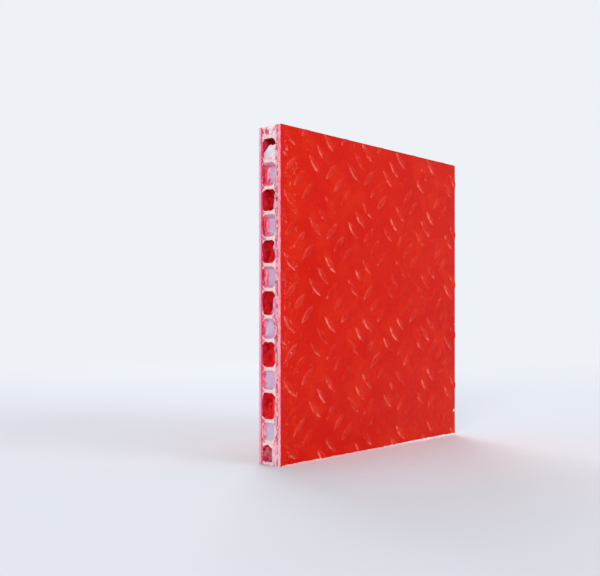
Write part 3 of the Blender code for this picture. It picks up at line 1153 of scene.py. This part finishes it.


# Glossy red outer face: soft patches, painted highlights on the bars' flanks, paler crowns that are partly
# wear and partly painted highlight, painted shade on the bars, a crimson line at the saw cut.
def gelcoatRed():
    skin = Finish("gelcoatRed", gelcoat)
    skin.lay(gelcoat["pale"], *gelcoat["palePatches"])
    facing, level = skin.facing("Y")
    wearAndGlintPatches = skin.spread(*gelcoat["wearAndGlintPatches"])
    rise = skin.calc("SUBTRACT", treadPlane / mm, skin.y)
    crowns = skin.times(skin.between(rise, gelcoat["crownRise"]), gelcoat["crowns"])
    # paler bar crowns: partly wear, partly painted highlight
    skin.lay(gelcoat["paleWearAndGlint"], crowns, skin.times(wearAndGlintPatches, gelcoat["crownShare"]))
    # painted shade: dark red patches on the bars, more of them low down
    barShade = skin.times(skin.between(rise, gelcoat["barShadeRise"]), gelcoat["barShade"])
    skin.lay(gelcoat["barShadeRed"], barShade, skin.spread(*gelcoat["barShadeShare"]))
    fromLeft = skin.calc("SUBTRACT", skin.x, leftEdge / mm)
    grain = skin.grain(gelcoat["grain"])
    # painted highlights: paler bar flanks, and pale glint specks and tufts
    skin.lay(gelcoat["paleWearAndGlint"], wearOf(skin, facing, wearAndGlintPatches, fromLeft, grain))
    uneven = skin.spread(*gelcoat["crimsonWaver"], fromLeft)
    skin.lay(gelcoat["crimsonBand"], skin.between(uneven, gelcoat["crimsonReach"]), gelcoat["crimsonShare"])
    fringeTop = skin.spread(gelcoat["toRight"], gelcoat["fringeRise"], skin.spread(*gelcoat["fringe"]))
    bared = skin.blend(gelcoat["toRight"], gelcoat["frayed"], gelcoat["bare"])
    skin.lay(bared, skin.calc("LESS_THAN", skin.z, fringeTop), gelcoat["fringeShare"])
    for x, z, radius in gelcoat["chips"]:
        values = {0: skin.place, 1: (x, treadPlane / mm, z)}
        away = addNode(skin.tree, "ShaderNodeVectorMath", values, operation="DISTANCE").outputs["Value"]
        torn = skin.spread(grain, gelcoat["chipTorn"], away)
        skin.lay(gelcoat["frayed"], skin.between(torn, [radius + reach for reach in gelcoat["chipEdge"]]))
    dull = skin.between(level, gelcoat["steep"])
    roughness = skin.spread(dull, gelcoat["steepDull"], skin.spread(*gelcoat["gloss"]))
    fibres = skin.times(skin.grain(gelcoat["fibres"]), gelcoat["fibreShare"])
    return skin.end(roughness, skin.calc("ADD", skin.grain(gelcoat["peel"]), fibres))


sawnEdge = {
    "ground": ((0.7, 0.38, 0.62, 3.0), srgb(246, 122, 132), srgb(250, 168, 176)),
    # the layer that is paler towards the floor is painted light
    "layers": ((srgb(216, 68, 92), "fleck", 0.5), (*paintedLightNearFloor, 0.5)),
    "waver": ((1.2, 0.2, 0.8), 0.2),
    "crimsonBand": (0.42, 0.26),  # mm behind the tread face
    "scores": 2.2,
    "roughness": 0.72,
    "relief": 0.12 * mm,
}


# The saw-cut edge of the tread laminate: pale, dull and fibrous, streaked along the cut.
def sawnPink():
    edge = Finish("sawnPink", sawnEdge)
    below = edge.calc("SUBTRACT", edge.y, treadPlane / mm)
    wavering = edge.spread(*sawnEdge["waver"], below)
    edge.lay(gelcoat["crimsonBand"], edge.between(wavering, sawnEdge["crimsonBand"]))
    return edge.end()


corePlastic = {
    "ground": ((3.2, 0.4, 0.62), srgb(198, 160, 192), srgb(192, 178, 202)),
    "sawn": ("depth", 0.7, 0.1),
    "sawnGround": ((2.2, 0.42, 0.6), *sawnPlastic),
    "creep": ((1.6, 0.25, 0.75), 1.6, -0.8),  # mm that the stains' borders waver
    "rearReach": (1.7, 0.45),  # mm in front of the rear skin, where resin crept up the walls
    "blush": srgb(236, 96, 128),
    "blushShare": 0.85,
    "streak": srgb(176, 22, 58),
    "streaks": (0.9, 0.5, 0.58, 2.2),
    "red": srgb(232, 34, 46),
    "depthCreep": 0.5,
    "stainReach": (3.0, 4.4),  # mm behind the cut, where the walls turn red
    "slantedReach": (0.9, 2.2),  # the same on the walls that slant away from the cut
    "slant": (0.9, 0.62),
    "gloss": (0.25, 0.38),
    "soft": 1.1,
    "scores": 1.6,
    "relief": 0.14 * mm,
}


def blendNumbers(tree, share, first, second):
    return addNode(tree, "ShaderNodeMix", {0: share, 2: first, 3: second}, data_type="FLOAT").outputs[0]


# White polypropylene, pale where sawn, blushing and then red where resin ran down the cells.
def coreWall():
    wall = Finish("coreWall", corePlastic)
    sawn = wall.mask(corePlastic["sawn"])
    wall.lay(wall.blend(*corePlastic["sawnGround"]), sawn)
    creep = wall.spread(*corePlastic["creep"])
    crept = wall.calc("ADD", wall.calc("SUBTRACT", coreHigh.y / mm, wall.y), creep)
    blush = wall.times(wall.between(crept, corePlastic["rearReach"]), corePlastic["blushShare"])
    wall.lay(corePlastic["blush"], blush)
    wall.lay(corePlastic["streak"], blush, corePlastic["streaks"])
    depth = wall.calc("ADD", wall.measure("depth"), wall.times(creep, corePlastic["depthCreep"]))
    slanted = wall.between(wall.facing("X")[1], corePlastic["slant"])
    slantedStain = wall.times(wall.between(depth, corePlastic["slantedReach"]), slanted)
    stain = wall.calc("MAXIMUM", wall.between(depth, corePlastic["stainReach"]), slantedStain)
    wall.lay(corePlastic["red"], stain)
    relief = blendNumbers(wall.tree, sawn, wall.grain(corePlastic["soft"]), wall.scores)
    return wall.end(wall.spread(sawn, *corePlastic["gloss"]), relief)


# The lips round the openings: pale cream plastic with pink smears.
burrPlastic = {
    "ground": ((2.0, 0.42, 0.6), *sawnPlastic),
    "layers": ((srgb(240, 152, 172), (1.3, 0.48, 0.62), 0.8),),
    "roughness": 0.5,
    "grain": 0.4,
    "relief": 0.08 * mm,
}

# The folded shred: bright, dry white plastic, a little grey in patches.
flapPlastic = {
    "ground": ((1.3, 0.42, 0.66), srgb(228, 222, 226), srgb(198, 192, 202)),
    "layers": ((srgb(240, 168, 190), (1.5, 0.52, 0.64), 0.6),),
    "roughness": 0.6,
    "scores": 2.0,
    "relief": 0.15 * mm,
}

# Cured resin seen edge on: pale pink, broken by a row of dark red drops, which are glossier.
drops = (1.0, 0.46, 0.52, 2.0)
frontBond = {
    "ground": (drops, srgb(242, 178, 190), srgb(128, 22, 52)),
    "roughness": (drops, -0.3, 0.65),
    "scores": 2.6,
    "relief": 0.08 * mm,
}

# The wet-looking red resin at the bottom of the cells, pale where the saw cut it, and brightened as painted
# light in the uppermost and lowest open cells.
rearBond = {
    "ground": ((2.6, 0.36, 0.6), srgb(196, 12, 24), resinRed),
    "layers": (
        (srgb(240, 76, 92), (1.5, 0.54, 0.72), 0.8),
        (srgb(226, 52, 92), ("depth", 2.6, 0.9), (1.2, 0.4, 0.6), 0.7),  # magenta near the sawn side
        # magenta resin, brightened as painted light where little light reaches the uppermost open cell
        (srgb(255, 70, 108), ("z", 86.0, 89.0), ("depth", 3.4, 1.4), 0.8),  # in the uppermost open cell
        # pale pink, brightened as painted light where little light reaches the lowest open cell
        (srgb(255, 158, 176), ("z", 8.0, 6.0), (1.4, 0.36, 0.56), 0.85),  # and in the lowest one
        (srgb(204, 66, 92), atRim),
    ),
    "roughness": (atRim, 0.45, 0.22),
    "grain": 0.9,
    "relief": 0.25 * mm,
}

# Thin white fleece, pink where resin soaked into it.
veilStain, veilSpeck = srgb(210, 102, 128), srgb(150, 30, 66)
veil = {
    "ground": ((1.4, 0.42, 0.64, 1.8), srgb(226, 174, 188), veilStain),
    # the layer that is paler towards the floor is painted light
    "layers": ((veilStain, "fleck", 0.3), (*paintedLightNearFloor, 0.6), (veilSpeck, (0.8, 0.57, 0.63, 1.8))),
    "roughness": 0.85,
    "scores": 3.0,
    "relief": 0.1 * mm,
}

# The veil's soaked inner side: lilac white fleece with magenta resin between its lumps.
veilInside = {
    "ground": ((1.1, 0.4, 0.6), srgb(216, 162, 184), srgb(198, 102, 132)),
    # the layer that is paler towards the floor is painted light
    "layers": ((*paintedLightNearFloor, 0.6), (veilSpeck, (0.75, 0.54, 0.6, 1.5)), (resinRed, ("depth", 0.4, 2.4))),
    "roughness": 0.5,
    "grain": 0.5,
    "relief": 0.12 * mm,
}

rearEdge = {
    "ground": ((1.3, 0.4, 0.6), srgb(226, 142, 166), srgb(208, 66, 96)),
    "smear": srgb(196, 34, 58),
    "smears": (0.9, 0.52, 0.6, 2.0),
    "inside": ("depth", 0.16, 0.34),
    "roughness": 0.6,
    "grain": 0.5,
    "relief": 0.1 * mm,
}


# The burr of the rear skin: pale lilac pink, with smears of red resin.
def rearBurr():
    burr = Finish("rearBurr", rearEdge)
    smeared = burr.calc("MAXIMUM", burr.mask(rearEdge["smears"]), burr.mask(rearEdge["inside"]))
    burr.lay(rearEdge["smear"], smeared)
    return burr.end()


rearFace = {
    "ground": ((18.0, 0.38, 0.62), *gelcoat["ground"][1:]),
    "layers": ((gelcoat["pale"], (5.0, 0.45, 0.7), 0.5),),
    "strandTurns": (8, 47, 84, 121, 163),  # degrees from upright
    "strands": (0.8, 0.59, 0.69, 11.0),
    "strandShare": 0.10,
    "strandHeight": 0.4,
    "scuffs": ((0.6, 0.66, 0.74, 5.0), (14.0, 0.4, 0.6), 0.5),
    "sawn": ((0.9, 0.4, 0.6, 3.0), srgb(222, 172, 194), srgb(228, 148, 174)),
    # the sawn edge's two borders: where they begin and are full in mm along Y, and their colours
    "borders": (((4.1, 3.8), srgb(238, 142, 162)), ((4.3, 4.6), srgb(218, 190, 220))),
    "gloss": ((3.0, 0.3, 0.75), 0.14, 0.26),
    "sawnRoughness": 0.72,
    "peel": 1.3,
    "relief": 0.06 * mm,
    "strength": 0.5,
    "specular": 0.2,
}


# Glass strands that lie in several directions, as a mask.
def strandsOf(skin):
    strands = 0.0
    for turn in rearFace["strandTurns"]:
        values = {"Vector": skin.place, "Angle": math.radians(turn)}
        turned = addNode(skin.tree, "ShaderNodeVectorRotate", values, rotation_type="Y_AXIS").outputs[0]
        strands = skin.calc("MAXIMUM", strands, skin.mottle(rearFace["strands"], Place=turned)["Mask"])
    return strands


# The rear skin in one piece: red outside, pale pink where the saw cut it.
def rearSkinFinish():
    skin = Finish("rearSkinFinish", rearFace)
    strands = strandsOf(skin)
    skin.lay(gelcoat["paleWearAndGlint"], strands, rearFace["strandShare"])
    skin.lay(gelcoat["paleWearAndGlint"], *rearFace["scuffs"])
    sawn = skin.blend(*rearFace["sawn"])
    for limits, colour in rearFace["borders"]:
        sawn = skin.blend(skin.between(skin.y, limits), sawn, colour)
    skin.lay(sawn, atRim)
    gloss = skin.spread(*rearFace["gloss"])
    roughness = blendNumbers(skin.tree, skin.mask(atRim), gloss, rearFace["sawnRoughness"])
    relief = skin.spread(strands, rearFace["strandHeight"], skin.grain(rearFace["peel"]))
    return skin.end(roughness, relief)


studio = {
    "floorRadius": 3.0,
    "floorSides": 96,
    "floorRoughness": 0.9,
    "floorSpecular": 0.1,
    "fadeFrom": 0.16,
    "fadeTo": 0.66,
    "floorColour": srgb(226, 229, 236),
    "backColour": srgb(238, 241, 246),
    "skyStrength": 0.38,
}


def addFloor():
    sides, radius = studio["floorSides"], studio["floorRadius"]
    bpy.ops.mesh.primitive_circle_add(vertices=sides, radius=radius, fill_type="NGON")
    floor = bpy.context.active_object
    floor.name = "floor"
    made, tree, shader = newMaterial("paleFloor")
    shader.inputs["Base Color"].default_value = studio["floorColour"]
    shader.inputs["Roughness"].default_value = studio["floorRoughness"]
    shader.inputs["Specular IOR Level"].default_value = studio["floorSpecular"]
    glow = addNode(tree, "ShaderNodeEmission", {"Color": studio["backColour"], "Strength": 1.0})
    coordinates = addNode(tree, "ShaderNodeTexCoord").outputs["Object"]
    distance = addNode(tree, "ShaderNodeVectorMath", {0: coordinates}, operation="LENGTH").outputs["Value"]
    far = between(tree, distance, studio["fadeFrom"], studio["fadeTo"])
    seen = addNode(tree, "ShaderNodeLightPath").outputs["Is Camera Ray"]
    values = {0: times(tree, far, seen), 1: shader.outputs[0], 2: glow.outputs[0]}
    mixed = addNode(tree, "ShaderNodeMixShader", values)
    output = tree.nodes["Material Output"]
    tree.links.new(mixed.outputs[0], output.inputs["Surface"])
    floor.data.materials.append(made)


def addWorld():
    world = bpy.data.worlds.new("studioWorld")
    bpy.context.scene.world = world
    world.use_nodes = True
    tree = world.node_tree
    back = tree.nodes["Background"]
    back.inputs["Color"].default_value = studio["backColour"]
    path = addNode(tree, "ShaderNodeLightPath").outputs
    shown = calc(tree, "MAXIMUM", path["Is Camera Ray"], path["Is Transmission Ray"])
    shown = calc(tree, "MAXIMUM", shown, path["Is Glossy Ray"])
    values = {"Value": shown, "To Min": studio["skyStrength"], "To Max": 1.0}
    strength = addNode(tree, "ShaderNodeMapRange", values).outputs[0]
    tree.links.new(strength, back.inputs["Strength"])


lamps = {
    "key": {"at": (-0.94, -0.51, 0.26), "size": 0.45, "watts": 7.1},
    "fill": {"at": (0.22, -1.02, 0.50), "size": 0.60, "watts": 3.8},
    "back": {"at": (0.55, 0.75, 0.70), "size": 0.60, "watts": 5.5},
    "top": {"at": (0.30, 0.05, 1.10), "size": 0.70, "watts": 3.2},
}


def addLamps():
    target = Vector((0, 0, panelHeight / 2))
    for name, lamp in lamps.items():
        data = bpy.data.lights.new(name, "AREA")
        data.energy = lamp["watts"]
        data.size = lamp["size"]
        item = link(name, data)
        item.location = lamp["at"]
        item.rotation_euler = (target - item.location).to_track_quat("-Z", "Y").to_euler()


addCamera()
print("camera placed")
sawnFinish = sawnPink()
addTreadSkin(gelcoatRed(), sawnFinish)
print("tread skin grown")
core = addCore(coreWall())
print("honeycomb core grown")
burred = Finish("burrPlastic", burrPlastic).end()
addBurrs(core, burred)
addShred(Finish("flapPlastic", flapPlastic).end())
addWeb(burred)
addMouth(burred)
print("burrs and torn sheets added")
addSwells("front", Finish("swollenVeil", veilInside).end())
addSwells("rear", rearBurr())
print("lumpy sides of the open cells added")
finishes = {
    "front_bond_line": Finish("frontBondResin", frontBond).end(),
    "front_veil": Finish("veilFleece", veil).end(),
    "rear_bond_line": Finish("rearBondResin", rearBond).end(),
    "rear_skin": rearSkinFinish(),
}
for name, finish in finishes.items():
    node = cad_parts[name]
    node.data.materials.clear()
    node.data.materials.append(finish)
print("thin layers finished")
addFloor()
addWorld()
addLamps()
bpy.context.scene.view_settings.view_transform = "Standard"
print("studio lit")
